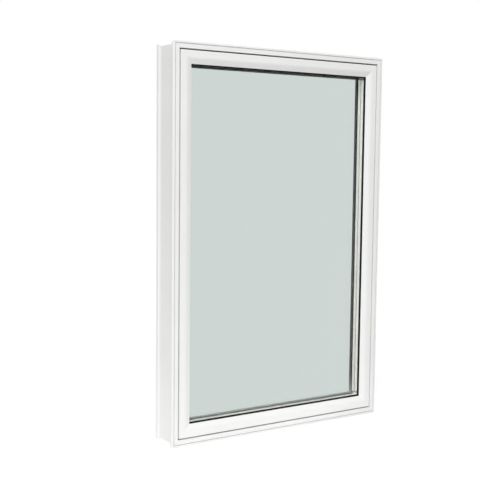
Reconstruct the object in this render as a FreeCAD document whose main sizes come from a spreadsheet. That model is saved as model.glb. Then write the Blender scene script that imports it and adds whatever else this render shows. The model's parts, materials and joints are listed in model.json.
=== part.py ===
"""Fixed picture window: a white PVC frame, a fixed sash and a triple-glazed unit.

The window stands on the rim of its frame and on a leg under its sill. +Z is up, the outdoor face
looks along -Y and the origin is at the middle of the footprint. Every profile is drawn once, as a
section of the bottom member: its first number is the depth behind the outdoor face, its second the
inset from the frame's edge.
"""
import FreeCAD, Part
import os
import re
import Sketcher

# Driving sizes in millimetres: name, value, meaning
SIZES = (
    ("window_width", 609.6, "overall width over the rim"),
    ("window_height", 914.4, "overall height over the rim"),
    ("frame_depth", 82.55, "overall depth of the frame"),
    ("rim_face", 16.6, "width of the rim's outdoor face"),
    ("rim_depth", 7.3, "depth of the rim's side"),
    ("corner_ease", 1.5, "inset of the rim's eased outer corners"),
    ("channel_recess", 8.0, "inset of the fixing channel behind the rim"),
    ("rear_lip_depth", 9.0, "depth of the lip along the indoor edge"),
    ("rear_lip_recess", 4.2, "inset of that lip from the rim's edge"),
    ("lip_cove", 12.0, "radius of the cove between channel and lip"),
    ("sill_leg_setback", 45.0, "distance of the sill's leg from the corners"),
    ("quirk_offset", 5.1, "distance of the shadow groove from the rim's edge"),
    ("quirk_width", 1.7, "width of the shadow groove"),
    ("quirk_depth", 3.0, "depth of the shadow groove"),
    ("frame_wall", 2.2, "wall of the frame extrusion"),
    ("frame_body", 13.0, "thickness of the frame between channel and sash"),
    ("sash_depth", 58.2, "depth of the sash down to the indoor stop it seats on"),
    ("stop_height", 9.5, "height of the stop over the frame body"),
    ("stop_land", 3.4, "flat land on the stop before its bevel"),
    ("frame_rear_face", 18.0, "width of the frame's indoor face"),
    ("bevel_wall", 2.9, "wall of the stop's bevel, measured across the window"),
    ("reveal_gap", 3.2, "open joint between frame and sash"),
    ("reveal_depth", 12.0, "depth of the open joint down to its seal"),
    ("sash_face", 29.7, "width of the sash seen from outdoors"),
    ("sash_flat", 16.7, "flat part of that face up to the slope"),
    ("sash_drop", 5.5, "fall of the slope towards the glass"),
    ("sash_lip_edge", 1.0, "edge of the lip that holds the glass"),
    ("sash_floor", 8.1, "thickness of the sash under the glazing pocket"),
    ("sash_wall", 2.2, "wall of the sash extrusion"),
    ("nib_height", 1.5, "height of the nib that locks the bead"),
    ("nib_width", 2.0, "width of that nib"),
    ("pane_thickness", 3.0, "thickness of each pane"),
    ("pane_gap", 9.5, "gas space between two panes"),
    ("glass_clearance", 4.5, "room between glass edge and pocket floor"),
    ("edge_seal_height", 6.5, "height of the sealant behind the spacer"),
    ("spacer_height", 7.0, "height of the spacer bar"),
    ("butyl_thickness", 0.3, "thickness of the butyl beside the spacer"),
    ("butyl_recess", 3.0, "distance of the butyl from the spacer's sight edge"),
    ("outer_gasket_thickness", 5.0, "thickness of the outdoor gasket"),
    ("inner_gasket_thickness", 5.0, "thickness of the indoor gasket"),
    ("gasket_cover", 10.0, "width of a gasket that is hidden in the pocket"),
    ("gasket_lip_edge", 0.8, "edge of a gasket's lip"),
    ("outer_gasket_lip", 2.5, "lip of the outdoor gasket past the sash"),
    ("inner_gasket_lip", 2.5, "lip of the indoor gasket past the bead"),
    ("bead_height", 19.9, "height of the glazing bead"),
    ("bead_nose", 1.5, "upright nose of the bead before its bevel"),
    ("bead_heel", 10.0, "height of the bead at its indoor edge"),
    ("bead_wall", 1.8, "wall of the bead extrusion"),
    ("bead_clearance", 0.2, "play between the bead and its nib"),
    ("setting_block_length", 90.0, "length of a setting block"),
    ("setting_block_spacing", 260.0, "distance between the setting blocks"),
    ("rim_round", 2.0, "rounding of the rim's outer edge"),
    ("edge_round", 0.8, "rounding of the outdoor edges"),
    ("slope_round", 15.0, "rounding between the sash's flat and its slope"),
    ("bevel_round", 2.0, "rounding of the indoor bevels"),
)

# Insets from the frame's outer edge, as formulas of the driving sizes
FRAME_INNER = "channel_recess + frame_body"
STOP_TOP = f"{FRAME_INNER} + stop_height"
SASH_EDGE = "rim_face + reveal_gap"
SASH_SLOPE = f"{SASH_EDGE} + sash_flat"
SASH_SIGHT = f"{SASH_EDGE} + sash_face"
SASH_BACK = f"{FRAME_INNER} + reveal_gap"
POCKET_FLOOR = f"{SASH_BACK} + sash_floor"
GLASS_EDGE = f"{POCKET_FLOOR} + glass_clearance"
SPACER_OUTER = f"{GLASS_EDGE} + edge_seal_height"
SPACER_SIGHT = f"{SPACER_OUTER} + spacer_height"
BUTYL_TOP = f"{SPACER_SIGHT} - butyl_recess"
BEAD_SIGHT = f"{POCKET_FLOOR} + bead_height"
BEAD_LOW = f"{POCKET_FLOOR} + bead_heel"

# Depths behind the outdoor face
SEAL_SEAT = "reveal_depth + reveal_gap"
STOP_FACE = "sash_depth"
STOP_BEVEL = f"{STOP_FACE} + stop_land"
REAR_LIP = "frame_depth - rear_lip_depth"
CHANNEL_END = f"{REAR_LIP} - (channel_recess - rear_lip_recess)"
LIP_BACK = "sash_drop + sash_lip_edge"
OUTER_PANE = f"{LIP_BACK} + outer_gasket_thickness"
OUTER_SPACE = f"{OUTER_PANE} + pane_thickness"
MIDDLE_PANE = f"{OUTER_SPACE} + pane_gap"
INNER_SPACE = f"{MIDDLE_PANE} + pane_thickness"
INNER_PANE = f"{INNER_SPACE} + pane_gap"
GLASS_BACK = f"{INNER_PANE} + pane_thickness"
BEAD_FRONT = f"{GLASS_BACK} + inner_gasket_thickness"
NIB_FRONT = f"{STOP_FACE} - nib_width"
BEAD_BACK = f"{NIB_FRONT} - bead_clearance"
BEAD_BEVEL = f"{BEAD_FRONT} + bead_nose"

# Sides of the window, each a quarter turn about Y from the one before: place of its outer edge, overall run
SIDES = {
    "bottom": ("0", "0", "window_width"),
    "left": ("-window_width / 2", "window_height / 2", "window_height"),
    "top": ("0", "window_height", "window_width"),
    "right": ("window_width / 2", "window_height / 2", "window_height"),
}
QUARTER_TURN = 90

# Room that the mitre cuts leave around a profile
CUT_MARGIN = 5
# Run of an eased corner's cut for each unit of its depth, at half of the mitre's angle
EASE_RUN = 2.4142
# Largest distance at which an edge still counts as lying on a corner of its profile
SAME_PLACE = 1e-4


def bound(formula):
    """Returns a formula with every size in it read from the sheet."""
    return re.sub(r"[a-z_]+", lambda word: f"Sizes.{word.group(0)}", formula)


def value(formula):
    """Returns what a formula comes to with the sheet's present sizes."""
    return float(sheet.evalExpression(bound(formula)))


def make_sheet():
    """Writes the driving sizes into the spreadsheet, one row each."""
    sizes = doc.addObject("Spreadsheet::Sheet", "Sizes")
    for row, (alias, size, meaning) in enumerate(SIZES, 1):
        sizes.set(f"A{row}", meaning)
        sizes.set(f"B{row}", str(size))
        sizes.setAlias(f"B{row}", alias)
    doc.recompute()
    return sizes


def make_body(name, turn=0, across="0", up="0"):
    """Adds a body turned about Y, with its front at the window's outdoor face."""
    body = doc.addObject("PartDesign::Body", name)
    body.Label = name
    body.Placement.Rotation = FreeCAD.Rotation(FreeCAD.Vector(0, 1, 0), turn)
    body.setExpression(".Placement.Base.x", bound(across))
    body.setExpression(".Placement.Base.y", bound("-frame_depth / 2"))
    body.setExpression(".Placement.Base.z", bound(up))
    return body


def make_sketch(body, name, plane):
    """Adds a sketch on one of the body's own origin planes."""
    planes = {feature.Role: feature for feature in body.Origin.OriginFeatures}
    sketch = body.newObject("Sketcher::SketchObject", name)
    sketch.AttachmentSupport = (planes[plane], [""])
    sketch.MapMode = "FlatFace"
    return sketch


def draw(sketch, corners):
    """Draws a closed outline whose corners follow formulas of the sheet's sizes."""
    first = sketch.GeometryCount
    spots = [FreeCAD.Vector(value(x), value(y), 0) for x, y in corners]
    for start, end in zip(spots, spots[1:] + spots[:1]):
        sketch.addGeometry(Part.LineSegment(start, end), False)
    for index, corner in enumerate(corners):
        line = first + index
        following = first + (index + 1) % len(corners)
        sketch.addConstraint(Sketcher.Constraint("Coincident", line, 2, following, 1))
        for kind, formula in zip(("DistanceX", "DistanceY"), corner):
            rule = Sketcher.Constraint(kind, -1, 1, line, 1, value(formula))
            number = sketch.addConstraint(rule)
            sketch.setExpression(f"Constraints[{number}]", bound(formula))


def round_runs(body, name, corners, radius):
    """Rounds the long edges that run through the given corners of the profile."""
    doc.recompute()
    base = body.Tip
    picked = []
    for depth, inset in corners:
        for number, edge in enumerate(base.Shape.Edges, 1):
            offsets = [abs(end.Y - value(depth)) + abs(end.Z - value(inset)) for end in edge.Vertexes]
            if max(offsets) < SAME_PLACE:
                picked.append(f"Edge{number}")
    fillet = body.newObject("PartDesign::Fillet", name)
    fillet.Base = (base, picked)
    fillet.setExpression("Radius", bound(radius))


def cut_mitres(body, run, outer, inner, ease=None):
    """Cuts both ends of a member at 45 degrees, and eases its outer corners where asked."""
    sketch = make_sketch(body, "mitre_lines", "XZ_Plane")
    low = f"{outer} - {CUT_MARGIN}"
    high = f"{inner} + {CUT_MARGIN}"
    for sign in ("", "-"):
        end = f"{sign}({run} / 2 - ({low}))"
        start = f"{sign}({run} / 2 - ({high}))"
        corners = [(end, low), (end, high), (start, high)]
        if ease:
            corners.append((f"{sign}({run} / 2 - {ease})", ease))
            corners.append((f"{sign}({run} / 2 - {ease} - ({ease} - ({low})) * {EASE_RUN})", low))
        draw(sketch, corners)
    before = body.Shape.Volume
    pocket = body.newObject("PartDesign::Pocket", "mitre_cuts")
    pocket.Profile = sketch
    pocket.Type = "ThroughAll"
    pocket.SideType = "Symmetric"
    doc.recompute()
    if not pocket.Shape.Volume < before:
        raise RuntimeError(f"the mitres of {body.Label} cut nothing")


def make_member(name, side, ring):
    """Makes one mitred length of a ring's profile and turns it to its side of the window."""
    across, up, run = SIDES[side]
    turn = list(SIDES).index(side) * QUARTER_TURN
    body = make_body(name, turn, across, up)
    sketch = make_sketch(body, "section", "YZ_Plane")
    draw(sketch, ring["outline"])
    for chamber in ring.get("chambers", ()):
        draw(sketch, chamber)
    pad = body.newObject("PartDesign::Pad", "length")
    pad.Profile = sketch
    pad.SideType = "Symmetric"
    pad.setExpression("Length", bound(f"{run} - 2 * ({ring['outer']})"))
    for index, (radius, corners) in enumerate(ring.get("rounds", ()), 1):
        round_runs(body, f"rounding_{index}", corners, radius)
    doc.recompute()
    cut_mitres(body, run, ring["outer"], ring["inner"], ring.get("ease"))
    return body


def add_sill_leg(body):
    """Adds the leg along the sill's indoor edge that holds the window level with its rim."""
    sketch = make_sketch(body, "leg_section", "YZ_Plane")
    draw(sketch, box_outline(REAR_LIP, "frame_depth", "0", "rear_lip_recess + frame_wall"))
    pad = body.newObject("PartDesign::Pad", "leg")
    pad.Profile = sketch
    pad.SideType = "Symmetric"
    pad.setExpression("Length", bound("window_width - 2 * sill_leg_setback"))


def box_outline(low_depth, high_depth, low_inset, high_inset):
    """Returns the corners of a plain rectangular section."""
    return [
        (low_depth, low_inset),
        (high_depth, low_inset),
        (high_depth, high_inset),
        (low_depth, high_inset),
    ]


def frame_ring():
    """The frame's section: rim, fixing channel, rear lip and the stop for the sash."""
    chamber_low = "channel_recess + frame_wall"
    chamber_high = f"{FRAME_INNER} - frame_wall"
    web = f"({SEAL_SEAT} + {STOP_FACE}) / 2"
    bevel_run = f"({STOP_TOP} - frame_rear_face) / (frame_depth - ({STOP_BEVEL}))"
    outline = [
        ("0", "0"),
        ("0", "quirk_offset"),
        ("quirk_depth", "quirk_offset"),
        ("quirk_depth", "quirk_offset + quirk_width"),
        ("0", "quirk_offset + quirk_width"),
        ("0", "rim_face"),
        (SEAL_SEAT, "rim_face"),
        (SEAL_SEAT, FRAME_INNER),
        (STOP_FACE, FRAME_INNER),
        (STOP_FACE, STOP_TOP),
        (STOP_BEVEL, STOP_TOP),
        ("frame_depth", "frame_rear_face"),
        ("frame_depth", "rear_lip_recess"),
        (REAR_LIP, "rear_lip_recess"),
        (CHANNEL_END, "channel_recess"),
        ("rim_depth", "channel_recess"),
        ("rim_depth", "0"),
    ]
    chambers = [
        box_outline("frame_wall", SEAL_SEAT, chamber_low, "rim_face - frame_wall"),
        box_outline(f"{SEAL_SEAT} + frame_wall", f"{web} - frame_wall / 2", chamber_low, chamber_high),
        box_outline(f"{web} + frame_wall / 2", f"{STOP_FACE} - frame_wall", chamber_low, chamber_high),
        [
            (f"{STOP_FACE} + frame_wall", chamber_low),
            (f"{STOP_FACE} + frame_wall", f"{STOP_TOP} - bevel_wall"),
            (STOP_BEVEL, f"{STOP_TOP} - bevel_wall"),
            ("frame_depth - frame_wall", f"frame_rear_face - bevel_wall + frame_wall * {bevel_run}"),
            ("frame_depth - frame_wall", chamber_low),
        ],
    ]
    rounds = [
        ("rim_round", [("0", "0")]),
        ("edge_round", [("0", "rim_face"), ("frame_depth", "rear_lip_recess")]),
        ("lip_cove", [(CHANNEL_END, "channel_recess")]),
        ("bevel_round", [("frame_depth", "frame_rear_face"), (STOP_BEVEL, STOP_TOP)]),
    ]
    return {
        "outline": outline,
        "chambers": chambers,
        "rounds": rounds,
        "outer": "0",
        "inner": STOP_TOP,
        "ease": "corner_ease",
    }


def sash_ring():
    """The sash's section: flange, sloped outdoor lip, pocket floor and the nib for the bead."""
    floor_low = f"{SASH_BACK} + sash_wall"
    floor_high = f"{POCKET_FLOOR} - sash_wall"
    web = f"(reveal_depth + {STOP_FACE}) / 2"
    outline = [
        ("0", SASH_EDGE),
        ("0", SASH_SLOPE),
        ("sash_drop", SASH_SIGHT),
        (LIP_BACK, SASH_SIGHT),
        (LIP_BACK, POCKET_FLOOR),
        (NIB_FRONT, POCKET_FLOOR),
        (NIB_FRONT, f"{POCKET_FLOOR} + nib_height"),
        (STOP_FACE, f"{POCKET_FLOOR} + nib_height"),
        (STOP_FACE, SASH_BACK),
        ("reveal_depth", SASH_BACK),
        ("reveal_depth", SASH_EDGE),
    ]
    chambers = [
        box_outline("sash_wall", "reveal_depth - sash_wall", f"{SASH_EDGE} + sash_wall", floor_high),
        box_outline("reveal_depth + sash_wall", f"{web} - sash_wall / 2", floor_low, floor_high),
        box_outline(f"{web} + sash_wall / 2", f"{STOP_FACE} - sash_wall", floor_low, floor_high),
    ]
    rounds = [
        ("edge_round", [("0", SASH_EDGE)]),
        ("slope_round", [("0", SASH_SLOPE)]),
    ]
    return {"outline": outline, "chambers": chambers, "rounds": rounds, "outer": SASH_EDGE, "inner": SASH_SIGHT}


def reveal_seal_ring():
    """The black strip at the bottom of the open joint between frame and sash."""
    outline = box_outline("reveal_depth", SEAL_SEAT, "rim_face", FRAME_INNER)
    return {"outline": outline, "outer": "rim_face", "inner": FRAME_INNER}


def outer_gasket_ring():
    """The outdoor gasket: a flat strip behind the sash's lip, with a sloped lip on the glass."""
    sight = f"{SASH_SIGHT} + outer_gasket_lip"
    outer = f"{SASH_SIGHT} - gasket_cover"
    outline = [
        (LIP_BACK, outer),
        (LIP_BACK, SASH_SIGHT),
        (f"{OUTER_PANE} - gasket_lip_edge", sight),
        (OUTER_PANE, sight),
        (OUTER_PANE, outer),
    ]
    return {"outline": outline, "outer": outer, "inner": sight}


def inner_gasket_ring():
    """The indoor gasket: a thick strip between the bead and the inner pane, with a tapered lip."""
    sight = f"{BEAD_SIGHT} + inner_gasket_lip"
    outer = f"{BEAD_SIGHT} - gasket_cover"
    outline = [
        (GLASS_BACK, outer),
        (GLASS_BACK, BEAD_SIGHT),
        (f"{BEAD_FRONT} - gasket_lip_edge", sight),
        (BEAD_FRONT, sight),
        (BEAD_FRONT, outer),
    ]
    return {"outline": outline, "outer": outer, "inner": sight}


def bead_ring():
    """The indoor glazing bead: hollow, bevelled, standing on the pocket floor before its nib."""
    bevel_run = f"({BEAD_SIGHT} - ({BEAD_LOW})) / ({BEAD_BACK} - ({BEAD_BEVEL}))"
    chamber_end = f"{BEAD_BACK} - 2 * bead_wall"
    chamber_low = f"{POCKET_FLOOR} + bead_wall"
    outline = [
        (BEAD_FRONT, POCKET_FLOOR),
        (BEAD_FRONT, BEAD_SIGHT),
        (BEAD_BEVEL, BEAD_SIGHT),
        (BEAD_BACK, BEAD_LOW),
        (BEAD_BACK, POCKET_FLOOR),
    ]
    chamber = [
        (f"{BEAD_FRONT} + bead_wall", chamber_low),
        (f"{BEAD_FRONT} + bead_wall", f"{BEAD_SIGHT} - 2 * bead_wall"),
        (chamber_end, f"{BEAD_LOW} - 1.4 * bead_wall + 2 * bead_wall * {bevel_run}"),
        (chamber_end, chamber_low),
    ]
    rounds = [("edge_round", [(BEAD_BEVEL, BEAD_SIGHT), (BEAD_BACK, BEAD_LOW)])]
    return {
        "outline": outline,
        "chambers": [chamber],
        "rounds": rounds,
        "outer": POCKET_FLOOR,
        "inner": BEAD_SIGHT,
    }


def rectangle(inset):
    """Returns the corners of an upright rectangle at one inset all round the window."""
    half = f"window_width / 2 - ({inset})"
    top = f"window_height - ({inset})"
    return [(f"-({half})", inset), (half, inset), (half, top), (f"-({half})", top)]


def add_layer(body, name, depth, thickness, outer, inner=None):
    """Adds an upright layer of the glass unit, a full pane or a ring round its edge."""
    sketch = make_sketch(body, f"{name}_outline", "XZ_Plane")
    sketch.setExpression(".AttachmentOffset.Base.z", bound(f"-({depth})"))
    draw(sketch, rectangle(outer))
    if inner:
        draw(sketch, rectangle(inner))
    pad = body.newObject("PartDesign::Pad", name)
    pad.Profile = sketch
    pad.Reversed = True
    pad.setExpression("Length", bound(thickness))


def make_pane(name, depth):
    """Makes one sheet of glass."""
    body = make_body(name)
    add_layer(body, "sheet", depth, "pane_thickness", GLASS_EDGE)
    return body


def make_spacer(name, depth):
    """Makes the metal bar that runs round the edge of a gas space."""
    body = make_body(name)
    start = f"{depth} + butyl_thickness"
    add_layer(body, "bar", start, "pane_gap - 2 * butyl_thickness", SPACER_OUTER, SPACER_SIGHT)
    return body


def make_edge_seal(name, depth):
    """Makes the sealant behind a spacer and the butyl on both of its sides."""
    body = make_body(name)
    rear = f"{depth} + pane_gap - butyl_thickness"
    add_layer(body, "backing", depth, "pane_gap", GLASS_EDGE, SPACER_OUTER)
    add_layer(body, "front_butyl", depth, "butyl_thickness", GLASS_EDGE, BUTYL_TOP)
    add_layer(body, "rear_butyl", rear, "butyl_thickness", GLASS_EDGE, BUTYL_TOP)
    return body


def make_setting_block(name, sign):
    """Makes one of the two blocks that carry the glass unit on the bottom rail."""
    block = doc.addObject("Part::Box", name)
    block.Label = name
    block.setExpression("Length", bound("setting_block_length"))
    block.setExpression("Width", bound(f"{GLASS_BACK} - ({OUTER_PANE})"))
    block.setExpression("Height", bound("glass_clearance"))
    centre = f"{sign}setting_block_spacing / 2"
    block.setExpression(".Placement.Base.x", bound(f"{centre} - setting_block_length / 2"))
    block.setExpression(".Placement.Base.y", bound(f"{OUTER_PANE} - frame_depth / 2"))
    block.setExpression(".Placement.Base.z", bound(POCKET_FLOOR))
    return block


def make_rings():
    """Makes the six rings of mitred members."""
    rings = (
        (frame_ring(), ("frame_sill", "frame_left_jamb", "frame_head", "frame_right_jamb")),
        (sash_ring(), ("sash_bottom_rail", "sash_left_stile", "sash_top_rail", "sash_right_stile")),
        (reveal_seal_ring(), [f"reveal_seal_{side}" for side in SIDES]),
        (outer_gasket_ring(), [f"outer_gasket_{side}" for side in SIDES]),
        (inner_gasket_ring(), [f"inner_gasket_{side}" for side in SIDES]),
        (bead_ring(), [f"glazing_bead_{side}" for side in SIDES]),
    )
    pieces = []
    for ring, names in rings:
        for name, side in zip(names, SIDES):
            pieces.append(make_member(name, side, ring))
    add_sill_leg(pieces[0])
    return pieces


def make_glass_unit():
    """Makes the three panes, the two spacers with their seals, and the setting blocks."""
    return [
        make_pane("outer_pane", OUTER_PANE),
        make_pane("middle_pane", MIDDLE_PANE),
        make_pane("inner_pane", INNER_PANE),
        make_spacer("outer_spacer", OUTER_SPACE),
        make_spacer("inner_spacer", INNER_SPACE),
        make_edge_seal("outer_edge_seal", OUTER_SPACE),
        make_edge_seal("inner_edge_seal", INNER_SPACE),
        make_setting_block("setting_block_left", "-"),
        make_setting_block("setting_block_right", ""),
    ]


def check(pieces):
    """Stops if any object failed or any piece is not one valid solid."""
    for item in doc.Objects:
        if "Invalid" in item.State or "Error" in item.State:
            raise RuntimeError(f"{item.Label} failed: {item.State}")
    for piece in pieces:
        shape = piece.Shape
        if shape.isNull() or not shape.isValid() or len(shape.Solids) != 1:
            raise RuntimeError(f"{piece.Label} is not one valid solid")


doc = FreeCAD.newDocument("PictureWindow")
sheet = make_sheet()
window_pieces = make_rings() + make_glass_unit()
doc.recompute()
check(window_pieces)
os.makedirs("parts", exist_ok=True)
for window_piece in window_pieces:
    window_piece.Shape.exportStep(f"parts/{window_piece.Label}.step")
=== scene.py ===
"""Looks of the fixed picture window: white vinyl, black gaskets, clear glass and metal spacers.

Everything is in metres, in the frame of the solids: +Z up, outdoor face along -Y, origin at the
middle of the footprint.
"""
import json
import math

import bpy
from mathutils import Matrix, Vector


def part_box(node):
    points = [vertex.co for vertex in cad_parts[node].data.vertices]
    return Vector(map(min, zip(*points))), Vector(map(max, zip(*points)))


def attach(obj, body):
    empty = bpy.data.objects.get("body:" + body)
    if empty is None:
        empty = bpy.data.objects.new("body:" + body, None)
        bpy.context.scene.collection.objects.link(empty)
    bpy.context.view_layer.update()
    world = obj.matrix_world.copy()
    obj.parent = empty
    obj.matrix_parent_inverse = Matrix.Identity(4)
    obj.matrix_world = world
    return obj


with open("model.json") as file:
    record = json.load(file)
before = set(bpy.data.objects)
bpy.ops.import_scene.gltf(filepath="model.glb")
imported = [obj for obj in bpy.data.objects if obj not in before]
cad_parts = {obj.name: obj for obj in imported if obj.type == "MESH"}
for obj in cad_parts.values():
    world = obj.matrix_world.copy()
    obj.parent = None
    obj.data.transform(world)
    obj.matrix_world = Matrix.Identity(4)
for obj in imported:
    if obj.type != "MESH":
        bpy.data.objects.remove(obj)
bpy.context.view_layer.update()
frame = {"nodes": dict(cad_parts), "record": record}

WHITE = (1, 1, 1, 1)
QUARTER_TURN = math.radians(90)

# Camera of the photograph, whose frame is 480 by 480 pixels
CAMERA_PLACE = Vector((-1.3635, -1.8891, 0.6512))
CAMERA_HEADING = math.radians(-33.853)
CAMERA_TILT = math.radians(-5.263)
CAMERA_ROLL = math.radians(0.613)
CAMERA_LENS = 72.006
CAMERA_SHIFT_UP = 0.02

# Rounding of the sharp edges that an extrusion die leaves
VINYL_EDGE = 0.00035
RUBBER_EDGE = 0.0003
GLASS_EDGE = 0.0004
EDGE_SEGMENTS = 2
EDGE_ANGLE = math.radians(28)
WELD_DISTANCE = 0.000005

# Words in the names of the members that stand upright
UPRIGHT = ("left", "right")

# Section of the taller lip along the bottom: how far back and up from the crest of the solid's lip
BOTTOM_LIP = ((-0.0016, -0.00048), (-0.00005, -0.00048), (-0.00005, 0.001), (-0.0006, 0.001))

# The two tones of each opaque material, and the values of its noise between which they blend
TONE_EDGES = (0.3, 0.7)
VINYL_TONES = ((0.855, 0.858, 0.845), (0.885, 0.885, 0.875))
GASKET_TONES = ((0.012, 0.012, 0.012), (0.018, 0.018, 0.019))
# a lighter black for the indoor gaskets and joint seals, as painted sheen
PAINTED_SHEEN_TONES = ((0.022, 0.022, 0.022), (0.03, 0.03, 0.031))
SEALANT_TONES = ((0.42, 0.42, 0.41), (0.50, 0.50, 0.49))
BLOCK_TONES = ((0.03, 0.03, 0.03), (0.05, 0.05, 0.05))
SPACER_TONES = ((0.95, 0.92, 0.885), (0.98, 0.95, 0.915))
# a darker copy of the spacer metal for the inner spacer, as painted shade deeper in the unit
SHADED_SPACER_TONES = ((0.87, 0.83, 0.79), (0.90, 0.86, 0.82))

# Glass: the tints of the clear panes and of the coated one, and how faintly they mirror
CLEAR_TINT = (0.985, 0.99, 0.988)
COATED_TINT = (0.619, 0.676, 0.658)
MIRROR_TINT = (0.05, 0.05, 0.05)

# Shine: least and most roughness, then the refraction of PVC and glass, the gloss of rubber and the
# metallic share of the spacers
VINYL_ROUGHNESS = (0.32, 0.42)
RUBBER_ROUGHNESS = (0.5, 0.7)
GLASS_ROUGHNESS = (0.0, 0.01)
METAL_ROUGHNESS = (0.08, 0.16)
REFRACTION = 1.5
RUBBER_GLOSS = 0.05
METAL_SHARE = 0.75

# Texture: features to a metre, where three numbers are along X, Y and Z
VINYL_PATCHES = 9
LEVEL_DIE_LINES = (6, 700, 700)
UPRIGHT_DIE_LINES = (700, 700, 6)
RUBBER_PATCHES = 30
RUBBER_GRAIN = 1800
GLASS_WAVES = 3
ROLLING_LINES = (40, 2500, 40)

# Relief: depth in metres, then strength
VINYL_RELIEF = (0.00002, 1.0)
RUBBER_RELIEF = (0.00003, 0.6)
METAL_RELIEF = (0.00001, 0.5)

# Painted light on the indoor gaskets and joint seals, most at the bottom where light falls from above
# and, on the
# gaskets, near the top as painted sheen: its colour, then pairs of height in metres and share from 0 to 1
GASKET_PAINTED_LIGHT = ((0.36, 0.36, 0.35), ((0.057, 1.0), (0.10, 0.2), (0.845, 0.05), (0.865, 0.75)))
SEAL_PAINTED_LIGHT = ((0.75, 0.75, 0.73), ((0.03, 1.0), (0.10, 0.2), (0.845, 0.03)))

# Light: surroundings that are brighter behind the window and white where seen, the key at the upper left
WORLD_LIGHT = 0.405
BACK_LIGHT = 1.0
SEEN_LIGHT = 1.0
BACK_SIDE = Vector((0.55, 0.83, 0))
KEY_TARGET = Vector((0, 0, 0.45))
KEY_DISTANCE = 5.5
KEY_SIZE = 1.8
KEY_POWER = 197
KEY_SIDE = math.radians(36)
KEY_HEIGHT = math.radians(47)

# Floor: its half width, and the light that it throws up, which fades with the distance from a centre
FLOOR_REACH = 12
FLOOR_TONE = 0.5
FLOOR_BOUNCE = (0.6, 0)
BOUNCE_CENTRE = (-0.4, -0.3, 0)
BOUNCE_REACH = (0.35, 1.4)

# What the camera sees of the floor: a grey that keeps the shadow faint, and a glow that whitens it
# with the distance from a centre
FLOOR_SEEN_TONE = 0.26
FLOOR_GLOW = (0.78, 0.9)
GLOW_CENTRE = (0, 0, 0)
GLOW_REACH = (0.6, 2.5)


def new_material(name):
    """Returns a new node material with its node tree, Principled shader and coordinates."""
    material = bpy.data.materials.new(name)
    material.use_nodes = True
    tree = material.node_tree
    shader = tree.nodes["Principled BSDF"]
    place = tree.nodes.new("ShaderNodeTexCoord").outputs["Object"]
    return material, tree, shader, place


def noise(tree, place, scale, detail, stretch=(1, 1, 1)):
    """Adds a noise texture and returns its value from 0 to 1."""
    mapping = tree.nodes.new("ShaderNodeMapping")
    mapping.inputs["Scale"].default_value = stretch
    texture = tree.nodes.new("ShaderNodeTexNoise")
    texture.inputs["Scale"].default_value = scale
    texture.inputs["Detail"].default_value = detail
    tree.links.new(place, mapping.inputs["Vector"])
    tree.links.new(mapping.outputs["Vector"], texture.inputs["Vector"])
    return texture.outputs["Fac"]


def spread(tree, value, low, high):
    """Maps a value from 0 to 1 to the range from low to high."""
    node = tree.nodes.new("ShaderNodeMapRange")
    node.inputs["To Min"].default_value = low
    node.inputs["To Max"].default_value = high
    tree.links.new(value, node.inputs["Value"])
    return node.outputs["Result"]


def two_tone(tree, value, tones):
    """Mixes two colours by a value from 0 to 1."""
    ramp = tree.nodes.new("ShaderNodeValToRGB")
    for stop, position, tone in zip(ramp.color_ramp.elements, TONE_EDGES, tones):
        stop.position = position
        stop.color = (*tone, 1)
    tree.links.new(value, ramp.inputs["Fac"])
    return ramp.outputs["Color"]


def bump(tree, shader, height, depth, strength):
    """Turns a height from 0 to 1 into relief of the given depth in metres."""
    node = tree.nodes.new("ShaderNodeBump")
    node.inputs["Strength"].default_value = strength
    node.inputs["Distance"].default_value = depth
    tree.links.new(height, node.inputs["Height"])
    tree.links.new(node.outputs["Normal"], shader.inputs["Normal"])


def vinyl(name, die_lines):
    """White extruded PVC: satin, with faint die lines along the member and soft tone changes."""
    material, tree, shader, place = new_material(name)
    patches = noise(tree, place, VINYL_PATCHES, detail=2)
    lines = noise(tree, place, 1, detail=4, stretch=die_lines)
    tree.links.new(two_tone(tree, patches, VINYL_TONES), shader.inputs["Base Color"])
    tree.links.new(spread(tree, lines, *VINYL_ROUGHNESS), shader.inputs["Roughness"])
    shader.inputs["IOR"].default_value = REFRACTION
    bump(tree, shader, lines, *VINYL_RELIEF)
    return material


def rubber(name, tones, painted_light=None):
    """Rubber with a fine matt grain, and painted light laid on by height where it is given."""
    material, tree, shader, place = new_material(name)
    grain = noise(tree, place, RUBBER_GRAIN, detail=3)
    patches = noise(tree, place, RUBBER_PATCHES, detail=3)
    shade = two_tone(tree, patches, tones)
    # painted light by height over the rubber's own tone
    if painted_light:
        shade = paint_light_by_height(tree, shade, *painted_light)
    tree.links.new(shade, shader.inputs["Base Color"])
    tree.links.new(spread(tree, grain, *RUBBER_ROUGHNESS), shader.inputs["Roughness"])
    shader.inputs["Specular IOR Level"].default_value = RUBBER_GLOSS
    bump(tree, shader, grain, *RUBBER_RELIEF)
    return material


def paint_light_by_height(tree, shade, colour, layers):
    """Lays a pale colour over a shade as painted light, as strong at each height as its layers say."""
    height = tree.nodes.new("ShaderNodeSeparateXYZ")
    position = tree.nodes.new("ShaderNodeNewGeometry").outputs["Position"]
    ramp = tree.nodes.new("ShaderNodeValToRGB")
    stops = ramp.color_ramp.elements
    stops.remove(stops[1])
    for number, (level, share) in enumerate(layers):
        stop = stops.new(level) if number else stops[0]
        stop.position = level
        stop.color = (share, share, share, 1)
    mix = tree.nodes.new("ShaderNodeMix")
    mix.data_type = "RGBA"
    mix.inputs["B"].default_value = (*colour, 1)
    tree.links.new(position, height.inputs["Vector"])
    tree.links.new(height.outputs["Z"], ramp.inputs["Fac"])
    tree.links.new(ramp.outputs["Color"], mix.inputs["Factor"])
    tree.links.new(shade, mix.inputs["A"])
    return mix.outputs["Result"]


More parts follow.
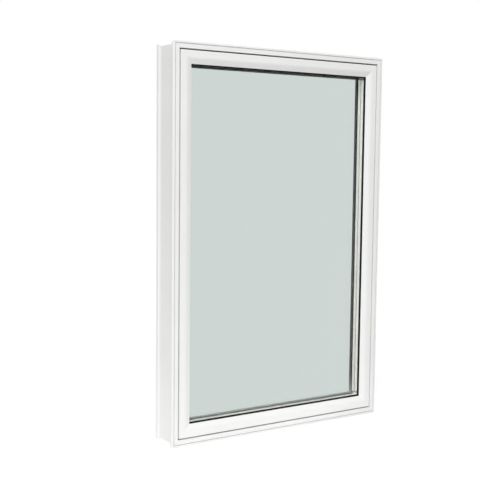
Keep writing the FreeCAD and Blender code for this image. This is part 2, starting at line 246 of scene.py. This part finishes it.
def glass(name, tint):
    """Float glass with little reflection, clear or tinted by a coat."""
    material, tree, shader, place = new_material(name)
    waves = noise(tree, place, GLASS_WAVES, detail=1)
    tree.links.new(spread(tree, waves, *GLASS_ROUGHNESS), shader.inputs["Roughness"])
    shader.inputs["Base Color"].default_value = (*tint, 1)
    shader.inputs["Transmission Weight"].default_value = 1.0
    shader.inputs["IOR"].default_value = REFRACTION
    shader.inputs["Specular Tint"].default_value = (*MIRROR_TINT, 1)
    return material


def metal(name, tones):
    """Bright satin spacer metal with fine rolling lines."""
    material, tree, shader, place = new_material(name)
    lines = noise(tree, place, 1, detail=3, stretch=ROLLING_LINES)
    tree.links.new(two_tone(tree, lines, tones), shader.inputs["Base Color"])
    tree.links.new(spread(tree, lines, *METAL_ROUGHNESS), shader.inputs["Roughness"])
    shader.inputs["Metallic"].default_value = METAL_SHARE
    bump(tree, shader, lines, *METAL_RELIEF)
    return material


def soften_edges(piece, width):
    """Rounds the sharp edges of a piece with modifiers, its mesh as it was."""
    weld = piece.modifiers.new("join", "WELD")
    weld.merge_threshold = WELD_DISTANCE
    bevel = piece.modifiers.new("edges", "BEVEL")
    bevel.width = width
    bevel.segments = EDGE_SEGMENTS
    bevel.limit_method = "ANGLE"
    bevel.angle_limit = EDGE_ANGLE
    normals = piece.modifiers.new("shading", "WEIGHTED_NORMAL")
    normals.keep_sharp = True


def dress(nodes):
    """Gives every carried-over solid its material, and softened edges to all but the edge sealant."""
    level = vinyl("white_vinyl_level", LEVEL_DIE_LINES)
    upright = vinyl("white_vinyl_upright", UPRIGHT_DIE_LINES)
    gasket = rubber("black_gasket", GASKET_TONES)
    # the indoor gaskets and the joint seals carry painted light by height, lightest at the bottom
    gasket_painted_light = rubber("black_gasket_painted_light", PAINTED_SHEEN_TONES, GASKET_PAINTED_LIGHT)
    seal = rubber("joint_seal_painted_light", PAINTED_SHEEN_TONES, SEAL_PAINTED_LIGHT)
    sealant = rubber("edge_sealant", SEALANT_TONES)
    block = rubber("block_rubber", BLOCK_TONES)
    pane = glass("clear_glass", CLEAR_TINT)
    coated = glass("coated_glass", COATED_TINT)
    spacer = metal("spacer_metal", SPACER_TONES)
    # the inner spacer's darker copy of the metal is painted shade
    shaded_spacer = metal("spacer_metal_painted_shade", SHADED_SPACER_TONES)
    finishes = {
        "black_gasket": (gasket, RUBBER_EDGE),
        "edge_sealant": (sealant, None),
        "block_rubber": (block, RUBBER_EDGE),
        "clear_glass": (pane, GLASS_EDGE),
        "spacer_metal": (spacer, RUBBER_EDGE),
    }
    slots = {part["node"]: part["material_slot"] for part in frame["record"]["subparts"]}
    for name, piece in nodes.items():
        if slots[name] == "white_vinyl":
            stands = any(side in name.split("_") for side in UPRIGHT)
            finish, edge = (upright if stands else level), VINYL_EDGE
        elif name.startswith("inner_gasket"):
            finish, edge = gasket_painted_light, RUBBER_EDGE
        elif name.startswith("reveal_seal"):
            finish, edge = seal, RUBBER_EDGE
        elif name == "inner_spacer":
            finish, edge = shaded_spacer, RUBBER_EDGE
        elif name == "inner_pane":
            finish, edge = coated, GLASS_EDGE
        else:
            finish, edge = finishes[slots[name]]
        piece.data.materials.clear()
        piece.data.materials.append(finish)
        if edge:
            soften_edges(piece, edge)
        if slots[name] == "clear_glass":
            piece.visible_shadow = False


def make_bottom_lip():
    """Stands a taller lip on the outdoor gasket along the bottom, between the gaskets of the sides."""
    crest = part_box("outer_gasket_bottom")[1]
    ends = (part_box("outer_gasket_left")[1].x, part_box("outer_gasket_right")[0].x)
    points = [(x, crest.y + back, crest.z + up) for x in ends for back, up in BOTTOM_LIP]
    count = len(BOTTOM_LIP)
    near = list(range(count))
    faces = [(i, (i + 1) % count, (i + 1) % count + count, i + count) for i in near]
    faces += [near[::-1], [i + count for i in near]]
    mesh = bpy.data.meshes.new("outer_gasket_bottom_lip")
    mesh.from_pydata(points, [], faces)
    mesh.materials.append(bpy.data.materials["black_gasket"])
    lip = bpy.data.objects.new("outer_gasket_bottom_lip", mesh)
    bpy.context.scene.collection.objects.link(lip)
    soften_edges(lip, RUBBER_EDGE)
    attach(lip, "root")


def larger(tree, first, second):
    """Returns the larger of two values."""
    node = tree.nodes.new("ShaderNodeMath")
    node.operation = "MAXIMUM"
    tree.links.new(first, node.inputs[0])
    tree.links.new(second, node.inputs[1])
    return node.outputs[0]


def make_world():
    """Surroundings: white as they are seen, also in or through glass, softer as they light the window."""
    world = bpy.data.worlds.new("studio")
    bpy.context.scene.world = world
    world.use_nodes = True
    tree = world.node_tree
    background = tree.nodes["Background"]
    path = tree.nodes.new("ShaderNodeLightPath").outputs
    mirrored = larger(tree, path["Is Glossy Ray"], path["Is Transmission Ray"])
    seen = larger(tree, path["Is Camera Ray"], mirrored)
    direction = tree.nodes.new("ShaderNodeTexCoord").outputs["Generated"]
    behind = tree.nodes.new("ShaderNodeVectorMath")
    behind.operation = "DOT_PRODUCT"
    behind.inputs[1].default_value = BACK_SIDE
    tree.links.new(direction, behind.inputs[0])
    level = tree.nodes.new("ShaderNodeMix")
    level.inputs["B"].default_value = SEEN_LIGHT
    tree.links.new(seen, level.inputs["Factor"])
    tree.links.new(spread(tree, behind.outputs["Value"], WORLD_LIGHT, BACK_LIGHT), level.inputs["A"])
    tree.links.new(level.outputs["Result"], background.inputs["Strength"])
    background.inputs["Color"].default_value = WHITE


def by_distance(tree, place, centre, reach, values):
    """Returns a value that runs from the first to the second with the distance from a centre."""
    away = tree.nodes.new("ShaderNodeVectorMath")
    away.operation = "DISTANCE"
    away.inputs[1].default_value = centre
    node = tree.nodes.new("ShaderNodeMapRange")
    node.interpolation_type = "SMOOTHSTEP"
    node.inputs["From Min"].default_value, node.inputs["From Max"].default_value = reach
    node.inputs["To Min"].default_value, node.inputs["To Max"].default_value = values
    tree.links.new(place, away.inputs[0])
    tree.links.new(away.outputs["Value"], node.inputs["Value"])
    return node.outputs["Result"]


def make_floor():
    """A floor that shows white, keeps a faint shadow and throws light up at the window's foot."""
    mesh = bpy.data.meshes.new("floor")
    ends = (-FLOOR_REACH, FLOOR_REACH)
    corners = [(x, y, 0) for x in ends for y in ends]
    mesh.from_pydata(corners, [], [(0, 2, 3, 1)])
    floor = bpy.data.objects.new("floor", mesh)
    bpy.context.scene.collection.objects.link(floor)
    material, tree, shader, place = new_material("floor_white")
    path = tree.nodes.new("ShaderNodeLightPath").outputs
    tone = spread(tree, path["Is Camera Ray"], FLOOR_TONE, FLOOR_SEEN_TONE)
    tree.links.new(tone, shader.inputs["Base Color"])
    shader.inputs["Roughness"].default_value = 1.0
    shader.inputs["Specular IOR Level"].default_value = 0.0
    shader.inputs["Emission Color"].default_value = WHITE
    bounce = by_distance(tree, place, BOUNCE_CENTRE, BOUNCE_REACH, FLOOR_BOUNCE)
    seen = by_distance(tree, place, GLOW_CENTRE, GLOW_REACH, FLOOR_GLOW)
    glow = tree.nodes.new("ShaderNodeMix")
    tree.links.new(path["Is Camera Ray"], glow.inputs["Factor"])
    tree.links.new(bounce, glow.inputs["A"])
    tree.links.new(seen, glow.inputs["B"])
    tree.links.new(glow.outputs["Result"], shader.inputs["Emission Strength"])
    white = tree.nodes.new("ShaderNodeEmission")
    mix = tree.nodes.new("ShaderNodeMixShader")
    tree.links.new(larger(tree, path["Is Glossy Ray"], path["Is Transmission Ray"]), mix.inputs["Fac"])
    tree.links.new(shader.outputs["BSDF"], mix.inputs[1])
    tree.links.new(white.outputs["Emission"], mix.inputs[2])
    tree.links.new(mix.outputs["Shader"], tree.nodes["Material Output"].inputs["Surface"])
    mesh.materials.append(material)


def make_key():
    """Adds the key: one large soft lamp at the upper left of the outdoor face."""
    data = bpy.data.lights.new("key", "AREA")
    data.size = KEY_SIZE
    data.energy = KEY_POWER
    lamp = bpy.data.objects.new("key", data)
    lamp.matrix_world = (
        Matrix.Translation(KEY_TARGET)
        @ Matrix.Rotation(-KEY_SIDE, 4, "Z")
        @ Matrix.Rotation(QUARTER_TURN - KEY_HEIGHT, 4, "X")
        @ Matrix.Translation((0, 0, KEY_DISTANCE))
    )
    bpy.context.scene.collection.objects.link(lamp)


def make_camera():
    """Stands the camera where the photograph was taken from."""
    data = bpy.data.cameras.new("camera")
    data.lens = CAMERA_LENS
    data.shift_y = CAMERA_SHIFT_UP
    camera = bpy.data.objects.new("camera", data)
    camera.matrix_world = (
        Matrix.Translation(CAMERA_PLACE)
        @ Matrix.Rotation(CAMERA_HEADING, 4, "Z")
        @ Matrix.Rotation(QUARTER_TURN + CAMERA_TILT, 4, "X")
        @ Matrix.Rotation(CAMERA_ROLL, 4, "Z")
    )
    bpy.context.scene.collection.objects.link(camera)
    bpy.context.scene.camera = camera


dress(frame["nodes"])
make_bottom_lip()
make_world()
make_floor()
make_key()
make_camera()
bpy.context.scene.view_settings.view_transform = "Standard"
